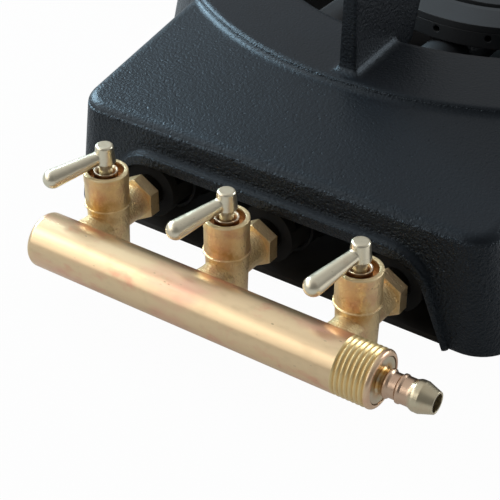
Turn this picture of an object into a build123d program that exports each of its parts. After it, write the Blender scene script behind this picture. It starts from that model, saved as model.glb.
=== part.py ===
from build123d import *
import os
from math import atan2, ceil, cos, degrees, hypot, pi, radians, sin, sqrt, tan

# A cast iron gas stove with three ring burners and a brass manifold with three plug valves.
# Millimetres. The origin is on the floor, under the burners' common axis. Front is -Y.

os.makedirs("parts", exist_ok=True)

# Stove casting: round body
ring_outer_radius = 141.0
ring_inner_radius = 106.0
ring_top = 64.0
ring_fall = 2.5
ring_thickness = 11.0
ring_edge_round = 0.9
skirt_foot = 20.0
skirt_flare = 11.0
wall = 7.0

# Stove casting: hollow legs
leg_count = 3
leg_reach = 190.0
leg_half_width = 95.5
leg_side_splay = 2.6
leg_edge_drop = 16.2
leg_root_drop = 2.0
leg_root_setback = 13.0
leg_side_draft = 8.6
leg_face_draft = 0.6
leg_foot_radius = 15.0
leg_corner_radius = 12.0
leg_edge_round = 4.5

# Stove casting: arch with a raised lip in each leg's outer wall, the lip thinning towards the floor
arch_post_width = 19.5
arch_height = 31.0
arch_side_lean = 23.0
arch_corner_radius = 15.0
lip_foot_width = 1.6
lip_top_width = 5.7
lip_side_lean = 19.4
lip_corner_radius = 18.0
lip_proud = 2.6
lip_round = 2.2

# Stove casting: pot support fins
fin_setback = 5.5
fin_top = 108.0
fin_inner_radius = 72.0
fin_inner_lean = 22.0
fin_root_thickness = 7.6
fin_top_thickness = 4.6
fin_corner_radius = 9.0
fin_edge_round = 1.2
fin_root_fillet = 3.4
step_fillet = 1.8

# Burners: three ring troughs with lids, all on one level
burner_floor = 43.0
burner_base_height = 7.0
burner_wall = 3.0
cap_rim = 3.0
cap_rise = 2.5
cap_edge = 1.6
cap_rib = 1.4
cap_fit = 0.3
outer_ring_radius = 58.0
outer_ring_width = 14.0
middle_ring_radius = 36.0
middle_ring_width = 12.0
centre_radius = 15.0
port_radius = 1.5
port_angle = -70.3
outer_ports = 16
middle_ports = 12
centre_ports = 8

# Mixing tubes
tube_radius = 11.0
tube_bore_radius = 8.0
tube_level = 31.0
tube_flat_run = 58.0
tube_climb_end = -64.0
tube_bend = 40.0
middle_tube_turn = -46.0
tube_end_wall = 3.0
riser_wall = 2.5
bell_radius = 15.0
bell_length = 12.0
bell_lip = 2.0
yoke_plate_radius = 11.5
yoke_plate_thickness = 4.0
yoke_gap = 21.3
rib_inner = 8.3
rib_thickness = 2.9
rib_height = 8.0

# Air shutters
shutter_fit = 0.4
shutter_thickness = 1.2
shutter_length = 13.5
shutter_gap = 0.4
shutter_window_angle = 100.0
shutter_window_length = 8.0
shutter_tab_reach = 5.0
shutter_tab_thickness = 1.6
shutter_tab_length = 8.0
shutter_tab_angle = 60.0

# Gas train
gas_axis_height = 18.0
outlet_rise = 0.9
pipe_standoff = 47.0
valve_offset = 22.3
valve_side_gap = 22.0

# Manifold pipe, with a G 1/2 thread at its right end
pipe_radius = 20.955 / 2
pipe_bore_radius = 8.0
pipe_left_lead = 12.75
pipe_right_lead = 23.3
pipe_end_round = 2.2
pipe_mouth_round = 1.4
thread_pitch = 1.814
thread_depth = 0.65
thread_crest_share = 0.16
thread_length = 14.4
thread_lead = 1.6
end_plug_length = 5.0
press_gap = 0.03

# Hose nozzle for a 10 mm hose
nozzle_disc_radius = 8.6
nozzle_disc = 3.0
nozzle_disc_sink = 0.25
nozzle_spigot = 9.0
nozzle_bore_radius = 3.25
nozzle_neck_radius = 4.5
nozzle_bead_radius = 5.2
nozzle_bead_at = 2.75
nozzle_bead_width = 1.0
nozzle_waist_radius = 4.85
nozzle_waist_at = 7.35
nozzle_barb_radius = 5.6
nozzle_barb_at = 13.35
nozzle_barb_rise = 2.6
nozzle_barb_flat = 1.6
nozzle_tip_radius = 3.9
nozzle_length = 19.95
nozzle_bevel = 0.6

# Valve bodies
collar_radius = 8.35
collar_height = 3.8
cup_radius = 8.2
cup_height = 14.3
ridge_radius = 8.7
ridge_height = 0.6
rim_height = 22.5
rim_wall = 1.6
rim_round = 0.5
shank_top_radius = 7.9
shank_foot_radius = 7.3
shank_depth = 12.0
shank_foot_round = 2.0
inlet_neck_radius = 6.3
inlet_flare_width = 9.4
inlet_flare_height = 7.2
inlet_start = 6.5
inlet_waist = 11.0
inlet_end = 17.0
spigot_radius = 4.9
spigot_fit = 0.05
outlet_neck_radius = 6.5
outlet_flare_radius = 6.7
hex_start = 15.4
hex_thickness = 4.9
hex_flats = 15.9
hex_bevel = 0.5
outlet_collar_radius = 6.6
outlet_collar_length = 4.5
stub_radius = 5.0
stub_length = 9.0
stub_fit = 0.1
gas_bore_radius = 2.8

# Tapered plugs, springs and retaining rings
plug_top_radius = 4.9
plug_foot_radius = 4.0
plug_depth = 7.5
plug_fit = 0.05
seat_height = 12.0
plug_lift = 0.2
plug_flange_radius = 6.4
plug_flange = 1.0
head_radius = 4.45
head_top = 22.5
head_edge = 0.55
head_sink = 2.5
spring_wire = 1.0
spring_radius = 5.6
spring_pitch = 1.46
spring_turns = 2
spring_gap = 0.1
snap_ring_height = 1.0
snap_ring_depth = 0.4
snap_ring_inner_radius = 4.85
snap_ring_fit = 0.05

# Levers
post_foot_radius = 3.95
post_top_radius = 3.3
post_foot = 25.8
post_top = 33.2
post_round = 1.0
stem_radius = 2.55
stem_bevel = 0.6
stem_fit = 0.05
stem_foot_gap = 0.5
arm_height = 28.8
arm_run = 20.3
arm_drop = 4.8
arm_root_radius = 2.35
arm_blend = 0.8
arm_tip_radius = 3.6
lever_turn = {"left": 30.6, "centre": 23.5, "right": 17.0}

# Jets and lock nuts
nut_flats = 14.0
nut_thickness = 4.6
nut_fit = 0.05
jet_flats = 8.0
jet_head = 3.0
jet_nose = 5.0
jet_nose_radius = 3.2
jet_tip_radius = 1.8
jet_bore_radius = 0.6
jet_shank = 5.0
jet_fit = 0.05

# Burner rest, hanger bar and fasteners
plate = 5.0
rest_width = 24.0
rest_setback = 46.0
rest_boss_setback = 21.0
rest_end_margin = 12.0
tongue_start = 10.0
boss_radius = 9.0
rest_bolt = 8.0
burner_bolt = 4.0
burner_bolt_x = 16.0
burner_boss_radius = 3.4
ear_width = 10.0
ear_reach = 22.5
ear_bolt_y = 18.5
hanger_setback = 46.0
hanger_width = 16.0
hanger_end_gap = 17.5
hanger_gap = 0.3
hanger_boss_radius = 6.0
hanger_bolt = 6.0
clip_thickness = 1.8
clip_width = 14.0
clip_gap = 0.3
clip_ear = 17.0
clip_ear_margin = 4.3
clip_bolt = 4.0
bolt_fit = 0.05
bolt_end_gap = 1.0

# Base plate: a sheet steel heat shield under the burners and the front leg
base_thickness = 2.4
base_lift = 0.3
base_gap = 0.5
base_edge_setback = 3.0
base_tongue_setback = 0.4
base_screw = 4.0
base_screw_head_radius = 4.0
base_screw_socket = 2.5
base_screw_reach = 7.0
lug_radius = 8.0
lug_inset = 7.5
lug_height = 11.0
lug_room_gap = 4.8
post_lug_radius = 6.0
post_lug_setback = 15.0

# Values worked out from the sizes above
ring_edge = ring_top - ring_fall
ring_under = ring_top - ring_thickness
leg_edge_height = ring_top - leg_edge_drop
leg_root_height = ring_top - leg_root_drop
leg_root_radius = ring_outer_radius - leg_root_setback
leg_slope = (leg_root_height - leg_edge_height) / (leg_reach - leg_root_radius)
fin_outer_radius = ring_outer_radius - fin_setback
arch_half_width = leg_half_width - arch_post_width
pipe_y = -leg_reach - pipe_standoff
valve_pitch = arch_half_width - valve_side_gap
pipe_left_end = valve_pitch + pipe_left_lead
pipe_right_end = valve_pitch + pipe_right_lead
valve_y = pipe_y + valve_offset
gas_z = gas_axis_height
outlet_z = gas_z + outlet_rise
sides = {"left": -valve_pitch, "centre": 0.0, "right": valve_pitch}
hex_end_y = valve_y + hex_start + hex_thickness
yoke_front_y = hex_end_y + outlet_collar_length
yoke_back_y = yoke_front_y + yoke_plate_thickness
bell_y = yoke_back_y + yoke_gap
tube_flat_end = tube_flat_run - leg_reach
rest_y = rest_setback + rest_width / 2
rest_boss_x = sqrt((ring_outer_radius - rest_boss_setback) ** 2 - rest_y**2)
hanger_y = hanger_setback - leg_reach
hanger_half_length = leg_half_width - hanger_end_gap
hanger_boss_x = valve_pitch / 2
hanger_z = outlet_z + tube_radius + hanger_gap
leg_step = 360 / leg_count
below_floor = -1.0


def skirt_radius(height):
    return ring_outer_radius + (ring_edge - height) * tan(radians(skirt_flare))


def leg_half(y):
    return leg_half_width + (leg_reach + y) * tan(radians(leg_side_splay))


base_top = base_lift + base_thickness
base_radius = ring_outer_radius - base_edge_setback
lug_x = leg_half_width - wall - lug_inset
lug_front_y = -leg_reach + wall + lug_inset
lug_back_y = -sqrt(skirt_radius(0) ** 2 - lug_x**2) - lug_room_gap
lug_wall_gap = wall + lug_inset
leg_lugs = [(hand * (leg_half(y) - lug_wall_gap), y) for hand in (-1, 1) for y in (lug_front_y, lug_back_y)]
post_lug_y = ring_outer_radius - post_lug_setback
base_screw_places = leg_lugs + [(0, post_lug_y)]


def save(piece, name):
    piece.part.label = name
    export_step(piece.part, f"parts/{name}.step")


def copy_to(piece, name, x):
    with BuildPart() as placed:
        with Locations((x, 0, 0)):
            add(piece.part)
    save(placed, name)


def along_y(x, y, z):
    return Plane(origin=(x, y, z), x_dir=(1, 0, 0), z_dir=(0, 1, 0))


# Leg shapes: the outside of one leg, and the hollow inside it, both towards -Y
def leg_outline(height, inset, inner_end, level):
    narrowing = inset + height * tan(radians(leg_side_draft))
    reach = leg_reach - inset - height * tan(radians(leg_face_draft))
    corner = leg_foot_radius - (leg_foot_radius - leg_corner_radius) * height / leg_edge_height
    front = leg_half(-reach) - narrowing
    back = leg_half(-inner_end) - narrowing
    with BuildSketch(Plane.XY.offset(level)) as outline:
        with BuildLine():
            Polyline((-front, -reach), (front, -reach), (back, -inner_end), (-back, -inner_end), close=True)
        make_face()
        fillet(outline.vertices().group_by(Axis.Y)[0], corner - inset)
    return outline.sketch


# The leg's roof rises from a straight edge in front to an arc inside the ring
def leg_roof_face(depth):
    front_y = -leg_reach - wall
    front_z = leg_edge_height - wall * leg_slope - depth
    root_z = leg_root_height - depth
    side = leg_half(0)
    root_y = -sqrt(leg_root_radius**2 - side**2)
    with BuildLine() as front_line:
        Line((-side, front_y, front_z), (side, front_y, front_z))
    with BuildLine() as root_line:
        ThreePointArc((-side, root_y, root_z), (0, -leg_root_radius, root_z), (side, root_y, root_z))
    return Face.make_surface_from_curves(front_line.line.edge(), root_line.line.edge())


def leg_block(inset, foot, top, inner_end):
    with BuildPart() as block:
        low = leg_outline(foot, inset, inner_end, foot)
        high = leg_outline(top, inset, inner_end, top)
        loft([low, high], ruled=True)
        extrude(leg_roof_face(inset), amount=ring_top, dir=(0, 0, 1), mode=Mode.SUBTRACT)
    return block


leg_inner_end = sqrt(leg_root_radius**2 - leg_half(0) ** 2)
with BuildPart() as leg:
    add(leg_block(0, 0, ring_top, leg_inner_end).part)
    Cylinder(leg_root_radius, 3 * ring_top, mode=Mode.SUBTRACT)
    leg_roof = leg.faces().sort_by(Axis.Z)[-1]
    roof_rim = leg_roof.edges().filter_by(
        lambda edge: hypot(edge.center().X, edge.center().Y) > leg_root_radius + 1
    )
    fillet(roof_rim, leg_edge_round)
leg_hollow = leg_block(wall, below_floor, ring_under, leg_inner_end - wall)


# Arch outline on the leg's outer wall
def arch_outline(foot, height, lean, corner, setback):
    top = foot - height * tan(radians(lean))
    with BuildSketch(Plane.XZ.offset(setback)) as outline:
        with BuildLine():
            Polyline((-foot, 0), (-top, height), (top, height), (foot, 0), close=True)
        make_face()
        fillet(outline.vertices().group_by(Axis.Y)[-1], corner)
    return outline.sketch


with BuildPart() as arch_lip:
    lip_foot = arch_half_width + lip_foot_width
    lip_height = arch_height + lip_top_width
    lip_back = leg_reach - wall
    extrude(
        arch_outline(lip_foot, lip_height, lip_side_lean, lip_corner_radius, lip_back),
        amount=wall + lip_proud,
    )
    lip_front = arch_lip.faces().sort_by(Axis.Y)[0]
    fillet(lip_front.edges().filter_by(lambda edge: edge.center().Z > 1), lip_round)
with BuildPart() as arch_opening:
    extrude(
        arch_outline(
            arch_half_width,
            arch_height,
            arch_side_lean,
            arch_corner_radius,
            leg_reach - 3 * wall,
        ),
        amount=4 * wall,
    )


# One pot support fin over the front leg
fin_root = ring_under + ring_thickness / 2
fin_root_inner = fin_inner_radius + (fin_top - fin_root) * tan(radians(fin_inner_lean))
with BuildPart() as fin:
    for level, thickness in ((ring_under, fin_root_thickness), (fin_top, fin_top_thickness)):
        with BuildSketch(Plane.XY.offset(level)):
            with Locations((0, -ring_outer_radius / 2)):
                Rectangle(thickness, ring_outer_radius)
    loft(ruled=True)
    with BuildSketch(Plane.YZ):
        with BuildLine():
            Polyline(
                (-fin_outer_radius, fin_root),
                (-fin_outer_radius, fin_top - fin_corner_radius),
                (-fin_outer_radius + fin_corner_radius / 2, fin_top),
                (-fin_inner_radius, fin_top),
                (-fin_root_inner, fin_root),
                (-ring_inner_radius - wall, ring_under),
                close=True,
            )
        make_face()
    extrude(amount=fin_root_thickness, both=True, mode=Mode.INTERSECT)
    fillet(fin.faces().sort_by(Axis.Z)[-1].edges().filter_by(Axis.Y), fin_edge_round)



# Edges of the casting, told apart by where they lie
def off_leg_line(place):
    turn = radians((degrees(atan2(place.Y, place.X)) + 90 + leg_step / 2) % leg_step - leg_step / 2)
    return hypot(place.X, place.Y) * abs(sin(turn))


def at_fin_root(edge):
    place = edge.center()
    away = hypot(place.X, place.Y)
    on_top = ring_edge < place.Z < ring_top + 0.1
    return on_top and away < fin_outer_radius + 1 and off_leg_line(place) < fin_root_thickness


def at_leg_step(edge):
    ends = [edge @ 0, edge @ 0.5, edge @ 1]
    near = all(abs(hypot(end.X, end.Y) - ring_outer_radius) < wall for end in ends)
    return near and all(leg_edge_height < end.Z < ring_edge - ring_edge_round for end in ends)


# Stove casting
with BuildPart() as casting:
    with BuildSketch(Plane.XZ):
        with BuildLine():
            Polyline(
                (0, skirt_foot),
                (skirt_radius(skirt_foot), skirt_foot),
                (ring_outer_radius, ring_edge),
                (ring_inner_radius, ring_top),
                (0, ring_top),
                close=True,
            )
        make_face()
    revolve(axis=Axis.Z)
    ring_rim = casting.edges().filter_by(GeomType.CIRCLE).sort_by(Axis.Z)[-2]
    fillet(ring_rim, ring_edge_round)
    with PolarLocations(0, leg_count):
        add(fin.part)
    fillet(casting.edges().filter_by(at_fin_root), fin_root_fillet)
    with PolarLocations(0, leg_count):
        add(leg.part)
    fillet(casting.edges().filter_by(at_leg_step), step_fillet)
    # the round room under the ring, and the hole through it
    with BuildSketch(Plane.XZ):
        with BuildLine():
            skirt_wall = wall / cos(radians(skirt_flare))
            Polyline(
                (0, below_floor),
                (skirt_radius(below_floor) - skirt_wall, below_floor),
                (skirt_radius(ring_under) - skirt_wall, ring_under),
                (ring_inner_radius, ring_under),
                (ring_inner_radius, ring_top + 2 * fin_root_fillet),
                (0, ring_top + 2 * fin_root_fillet),
                close=True,
            )
        make_face()
    revolve(axis=Axis.Z, mode=Mode.SUBTRACT)
    with PolarLocations(0, leg_count):
        add(leg_hollow.part, mode=Mode.SUBTRACT)
        add(arch_lip.part)
        add(fin.part)
    with PolarLocations(0, leg_count):
        add(arch_opening.part, mode=Mode.SUBTRACT)
    # bosses for the burner rest and the hanger bar
    with Locations((-rest_boss_x, rest_y, burner_floor), (rest_boss_x, rest_y, burner_floor)):
        Cylinder(boss_radius, ring_under + 1 - burner_floor, align=(Align.CENTER, Align.CENTER, Align.MIN))
        Cylinder(
            rest_bolt / 2 + bolt_fit,
            ring_under - burner_floor,
            align=(Align.CENTER, Align.CENTER, Align.MIN),
            mode=Mode.SUBTRACT,
        )
    hanger_top = hanger_z + plate
    hanger_roof = leg_edge_height + (leg_reach + hanger_y) * leg_slope - wall
    with Locations((-hanger_boss_x, hanger_y, hanger_top), (hanger_boss_x, hanger_y, hanger_top)):
        Cylinder(
            hanger_boss_radius,
            hanger_roof + 2 - hanger_top,
            align=(Align.CENTER, Align.CENTER, Align.MIN),
        )
        Cylinder(
            hanger_bolt / 2 + bolt_fit,
            hanger_roof - 1 - hanger_top,
            align=(Align.CENTER, Align.CENTER, Align.MIN),
            mode=Mode.SUBTRACT,
        )
    # lugs in the front leg and a post at the back for the base plate's screws
    with Locations(*[(x, y, base_top) for x, y in leg_lugs]):
        Cylinder(lug_radius, lug_height, align=(Align.CENTER, Align.CENTER, Align.MIN))
    with Locations((0, post_lug_y, base_top)):
        Cylinder(
            post_lug_radius,
            ring_under + 1 - base_top,
            align=(Align.CENTER, Align.CENTER, Align.MIN),
        )
    with Locations(*[(x, y, base_top) for x, y in base_screw_places]):
        Cylinder(
            base_screw / 2 + bolt_fit,
            base_screw_reach + bolt_end_gap,
            align=(Align.CENTER, Align.CENTER, Align.MIN),
            mode=Mode.SUBTRACT,
        )
save(casting, "stove_casting")


# Burner shapes
def ring_profile(inner, outer, low, high):
    with BuildSketch(Plane.XZ) as profile:
        with BuildLine():
            Polyline((inner, low), (outer, low), (outer, high), (inner, high), close=True)
        make_face()
    return profile.sketch


burner_top = burner_floor + burner_base_height
port_height = burner_floor + burner_wall + port_radius


def mixing_route(x, finish):
    points = [
        (x, bell_y + bell_length - bell_lip, outlet_z),
        (x, tube_flat_end, outlet_z),
        (x, tube_climb_end, tube_level),
    ]
    return points + finish


def tube_along(points, radius):
    with BuildPart() as tube:
        with BuildLine() as route:
            FilletPolyline(*points, radius=tube_bend)
        with BuildSketch(Plane(origin=points[0], x_dir=(1, 0, 0), z_dir=(0, 1, 0))):
            Circle(radius)
        sweep(path=route.line)
    return tube


def shortened(points, length):
    last = Vector(*points[-1])
    before = Vector(*points[-2])
    heading = (last - before).normalized()
    return points[:-1] + [tuple(last - heading * length)]


def make_burner(inner, outer, points, riser_at, riser_radius, ports, bolts):
    x = points[0][0]
    cavity_inner = inner + burner_wall if inner > 0 else 0
    with BuildPart() as burner:
        # trough, tube, riser and bell mouth
        revolve(ring_profile(inner, outer, burner_floor, burner_top), axis=Axis.Z)
        add(tube_along(points, tube_radius).part)
        with Locations((riser_at[0], riser_at[1], tube_level)):
            Cylinder(
                riser_radius + riser_wall,
                burner_floor + 1 - tube_level,
                align=(Align.CENTER, Align.CENTER, Align.MIN),
            )
        with Locations(along_y(x, bell_y, outlet_z)):
            Cylinder(bell_radius, bell_lip, align=(Align.CENTER, Align.CENTER, Align.MIN))
        with Locations(along_y(x, bell_y + bell_lip, outlet_z)):
            Cone(
                bell_radius,
                tube_radius,
                bell_length - bell_lip,
                align=(Align.CENTER, Align.CENTER, Align.MIN),
            )
        # hollow inside
        revolve(
            ring_profile(cavity_inner, outer - burner_wall, burner_floor + burner_wall, burner_top),
            axis=Axis.Z,
            mode=Mode.SUBTRACT,
        )
        add(tube_along(shortened(points, tube_end_wall), tube_bore_radius).part, mode=Mode.SUBTRACT)
        with Locations((riser_at[0], riser_at[1], tube_level)):
            Cylinder(
                riser_radius,
                burner_top - tube_level,
                align=(Align.CENTER, Align.CENTER, Align.MIN),
                mode=Mode.SUBTRACT,
            )
        with Locations(along_y(x, bell_y, outlet_z)):
            Cone(
                bell_radius - bell_lip,
                tube_bore_radius,
                bell_length,
                align=(Align.CENTER, Align.CENTER, Align.MIN),
                mode=Mode.SUBTRACT,
            )
        # yoke: two ribs and the plate that the valve is clamped to
        rib_length = bell_y - yoke_back_y + 0.75 * bell_length
        for hand in (-1, 1):
            with Locations((x + hand * (rib_inner + rib_thickness / 2), yoke_back_y - bell_lip, outlet_z)):
                Box(
                    rib_thickness,
                    rib_length + bell_lip,
                    rib_height,
                    align=(Align.CENTER, Align.MIN, Align.CENTER),
                )
        with Locations(along_y(x, yoke_front_y, outlet_z)):
            Cylinder(
                yoke_plate_radius,
                yoke_plate_thickness,
                align=(Align.CENTER, Align.CENTER, Align.MIN),
            )
            Cylinder(
                stub_radius + stub_fit,
                yoke_plate_thickness,
                align=(Align.CENTER, Align.CENTER, Align.MIN),
                mode=Mode.SUBTRACT,
            )
        # flame ports through the outer wall
        with Locations((0, 0, port_height)):
            with PolarLocations(outer - burner_wall / 2, ports, start_angle=port_angle):
                Cylinder(port_radius, 2 * burner_wall, rotation=(0, 90, 0), mode=Mode.SUBTRACT)
        # an ear on the centre burner, whose trough has no room for a bolt
        if inner == 0:
            with Locations((0, 0, burner_floor)):
                Box(
                    ear_width,
                    ear_reach,
                    burner_wall,
                    align=(Align.CENTER, Align.MIN, Align.MIN),
                )
            with Locations((riser_at[0], riser_at[1], tube_level)):
                Cylinder(
                    riser_radius,
                    burner_top - tube_level,
                    align=(Align.CENTER, Align.CENTER, Align.MIN),
                    mode=Mode.SUBTRACT,
                )
        # bolt bosses with threaded holes
        for bolt in bolts:
            with Locations((bolt[0], bolt[1], burner_floor)):
                Cylinder(
                    burner_boss_radius,
                    burner_base_height - cap_rib - cap_fit,
                    align=(Align.CENTER, Align.CENTER, Align.MIN),
                )
                Cylinder(
                    burner_bolt / 2 + bolt_fit,
                    burner_base_height - cap_rib - cap_fit - bolt_end_gap,
                    align=(Align.CENTER, Align.CENTER, Align.MIN),
                    mode=Mode.SUBTRACT,
                )
    return burner


def make_cap(inner, outer):
    edge = burner_top + cap_rim
    crest = edge + cap_rise
    crest_outer = inner + (outer - inner) / 4
    with BuildPart() as cap:
        with BuildSketch(Plane.XZ):
            with BuildLine():
                if inner > 0:
                    Polyline(
                        (inner, burner_top),
                        (outer, burner_top),
                        (outer, edge),
                        (crest_outer, crest),
                        (inner + cap_edge / 2, crest),
                        (inner, crest - cap_edge),
                        close=True,
                    )
                else:
                    Polyline(
                        (0, burner_top),
                        (outer, burner_top),
                        (outer, edge),
                        (outer / 2, crest),
                        (0, crest),
                        close=True,
                    )
            make_face()
        revolve(axis=Axis.Z)
        # rib that keeps the lid in place in the trough
        rib_outer = outer - burner_wall - cap_fit
        if inner > 0:
            rib_outer = inner + burner_wall + cap_fit + cap_rib
        revolve(ring_profile(rib_outer - cap_rib, rib_outer, burner_top - cap_rib, burner_top), axis=Axis.Z)
    return cap


outer_inner = outer_ring_radius - outer_ring_width
middle_inner = middle_ring_radius - middle_ring_width
outer_mean = outer_ring_radius - outer_ring_width / 2
middle_mean = middle_ring_radius - middle_ring_width / 2
outer_bolt_y = sqrt(outer_mean**2 - burner_bolt_x**2)
outer_bolts = [(-burner_bolt_x, outer_bolt_y), (burner_bolt_x, outer_bolt_y)]
middle_bolts = [(0, middle_mean)]
centre_bolts = [(0, ear_bolt_y)]

outer_riser = outer_ring_width / 2 - burner_wall
outer_end = (sides["left"], tube_radius, tube_level)
outer_burner = make_burner(
    outer_inner,
    outer_ring_radius,
    mixing_route(sides["left"], [outer_end]),
    (-outer_mean, 0),
    outer_riser,
    outer_ports,
    outer_bolts,
)
save(outer_burner, "outer_ring_burner")

middle_riser = middle_ring_width / 2 - burner_wall
middle_end = (middle_mean, 0, tube_level)
middle_burner = make_burner(
    middle_inner,
    middle_ring_radius,
    mixing_route(sides["right"], [(sides["right"], middle_tube_turn, tube_level), middle_end]),
    (middle_mean, -tube_end_wall - middle_riser),
    middle_riser,
    middle_ports,
    middle_bolts,
)
save(middle_burner, "middle_ring_burner")

centre_riser = tongue_start - riser_wall - 1
centre_end = (0, centre_riser / 2, tube_level)
centre_burner = make_burner(
    0,
    centre_radius,
    mixing_route(sides["centre"], [centre_end]),
    (0, 0),
    centre_riser,
    centre_ports,
    centre_bolts,
)
save(centre_burner, "centre_burner")

outer_cap = make_cap(outer_inner, outer_ring_radius)
save(outer_cap, "outer_ring_cap")
middle_cap = make_cap(middle_inner, middle_ring_radius)
save(middle_cap, "middle_ring_cap")
centre_cap = make_cap(0, centre_radius)
save(centre_cap, "centre_burner_cap")

# Air shutter: a sleeve with two windows and a thumb tab, turning about the tube's axis
shutter_radius = hypot(rib_inner + rib_thickness, rib_height / 2) + shutter_fit
shutter_outer = shutter_radius + shutter_thickness
shutter_end_y = bell_y - shutter_gap
with BuildPart() as shutter:
    with Locations(along_y(0, shutter_end_y - shutter_length, outlet_z)):
        Cylinder(shutter_outer, shutter_length, align=(Align.CENTER, Align.CENTER, Align.MIN))
        Cylinder(
            shutter_radius,
            shutter_length,
            align=(Align.CENTER, Align.CENTER, Align.MIN),
            mode=Mode.SUBTRACT,
        )
    with BuildSketch(along_y(0, shutter_end_y - shutter_length / 2 - shutter_window_length / 2, outlet_z)):
        half_window = radians(shutter_window_angle / 2)
        reach = 2 * shutter_outer
        for hand in (-1, 1):
            with BuildLine():
                Polyline(
                    (0, 0),
                    (reach * sin(half_window), hand * reach * cos(half_window)),
                    (-reach * sin(half_window), hand * reach * cos(half_window)),
                    close=True,
                )
            make_face()
    extrude(amount=shutter_window_length, mode=Mode.SUBTRACT)
    tab_tilt = radians(shutter_tab_angle)
    tab_plane = Plane(
        origin=(0, shutter_end_y, outlet_z),
        x_dir=(cos(tab_tilt), 0, sin(tab_tilt)),
        z_dir=(-sin(tab_tilt), 0, cos(tab_tilt)),
    )
    with Locations(tab_plane):
        with Locations(((shutter_radius + shutter_outer) / 2, 0, 0)):
            Box(
                shutter_tab_reach,
                shutter_tab_thickness,
                shutter_tab_length,
                align=(Align.MIN, Align.MAX, Align.CENTER),
            )

# Manifold pipe: bored through, with thread crests turned on its right end
with BuildPart() as pipe:
    with BuildSketch(Plane.XY):
        with BuildLine():
            thread_start = pipe_right_end - thread_length
            crest_count = int((thread_length - thread_lead) / thread_pitch)
            thread_points = []
            for index in range(crest_count):
                crest = thread_start + index * thread_pitch
                thread_points.append((crest, pipe_radius))
                thread_points.append((crest + thread_crest_share * thread_pitch, pipe_radius))
                thread_points.append((crest + (1 + thread_crest_share) / 2 * thread_pitch, pipe_radius - thread_depth))
            Polyline(
                (-pipe_left_end, 0),
                (-pipe_left_end, pipe_radius),
                *thread_points,
                (thread_start + crest_count * thread_pitch, pipe_radius),
                (pipe_right_end, pipe_radius),
                (pipe_right_end, 0),
                close=True,
            )
        make_face()
    revolve(axis=Axis.X)
    left_rim = pipe.edges().filter_by(GeomType.CIRCLE).sort_by(Axis.X)[0]
    fillet(left_rim, pipe_end_round)
    right_rim = pipe.edges().filter_by(GeomType.CIRCLE).sort_by(Axis.X)[-1]
    fillet(right_rim, pipe_mouth_round)
    with Locations((pipe_right_end - nozzle_disc / 2 - nozzle_disc_sink / 2, 0, 0)):
        Cylinder(
            nozzle_disc_radius,
            nozzle_disc + nozzle_disc_sink,
            rotation=(0, 90, 0),
            mode=Mode.SUBTRACT,
        )
    pipe_middle = (pipe_right_end - pipe_left_end) / 2
    with Locations((pipe_middle, 0, 0)):
        Cylinder(
            pipe_bore_radius,
            pipe_left_end + pipe_right_end,
            rotation=(0, 90, 0),
            mode=Mode.SUBTRACT,
        )
    for x in sides.values():
        with Locations(along_y(x, 0, 0)):
            Cylinder(
                spigot_radius + spigot_fit,
                pipe_radius,
                align=(Align.CENTER, Align.CENTER, Align.MIN),
                mode=Mode.SUBTRACT,
            )
with BuildPart() as manifold_pipe:
    with Locations((0, pipe_y, gas_z)):
        add(pipe.part)
save(manifold_pipe, "manifold_pipe")

with BuildPart() as end_plug:
    with Locations((-pipe_left_end + end_plug_length / 2, pipe_y, gas_z)):
        Cylinder(pipe_bore_radius - press_gap, end_plug_length, rotation=(0, 90, 0))
save(end_plug, "pipe_end_plug")

# Hose nozzle: spigot and disc in the pipe's mouth, neck with two beads and a barb
with BuildPart() as nozzle:
    face_x = pipe_right_end - nozzle_disc_sink
    disc_x = face_x - nozzle_disc
    bead_x = face_x + nozzle_bead_at
    waist_x = face_x + nozzle_waist_at
    barb_x = face_x + nozzle_barb_at
    with BuildSketch(Plane.XY):
        with BuildLine():
            Polyline(
                (disc_x - nozzle_spigot, nozzle_bore_radius),
                (disc_x - nozzle_spigot, pipe_bore_radius - press_gap),
                (disc_x, pipe_bore_radius - press_gap),
                (disc_x, nozzle_disc_radius - press_gap),
                (face_x - nozzle_bevel / 2, nozzle_disc_radius - press_gap),
                (face_x, nozzle_disc_radius - nozzle_bevel / 2 - press_gap),
                (face_x, nozzle_neck_radius + nozzle_bevel),
                (face_x + nozzle_bevel, nozzle_neck_radius),
                (bead_x - nozzle_bead_width, nozzle_neck_radius),
                (bead_x - nozzle_bead_width / 3, nozzle_bead_radius),
                (bead_x + nozzle_bead_width / 3, nozzle_bead_radius),
                (bead_x + nozzle_bead_width, nozzle_neck_radius),
                (waist_x - nozzle_bead_width, nozzle_neck_radius),
                (waist_x - nozzle_bead_width / 3, nozzle_bead_radius),
                (waist_x + nozzle_bead_width / 3, nozzle_bead_radius),
                (waist_x + nozzle_bead_width, nozzle_waist_radius),
                (barb_x - nozzle_barb_rise, nozzle_waist_radius),
            )
            Spline(
                (barb_x - nozzle_barb_rise, nozzle_waist_radius),
                (barb_x, nozzle_barb_radius),
                tangents=[(1, 0), (1, 0)],
            )
            Polyline(
                (barb_x, nozzle_barb_radius),
                (barb_x + nozzle_barb_flat, nozzle_barb_radius),
                (face_x + nozzle_length, nozzle_tip_radius),
                (face_x + nozzle_length, nozzle_bore_radius),
                (disc_x - nozzle_spigot, nozzle_bore_radius),
            )
        make_face()
    revolve(axis=Axis.X)
with BuildPart() as hose_nozzle:
    with Locations((0, pipe_y, gas_z)):
        add(nozzle.part)
save(hose_nozzle, "hose_nozzle")

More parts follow.
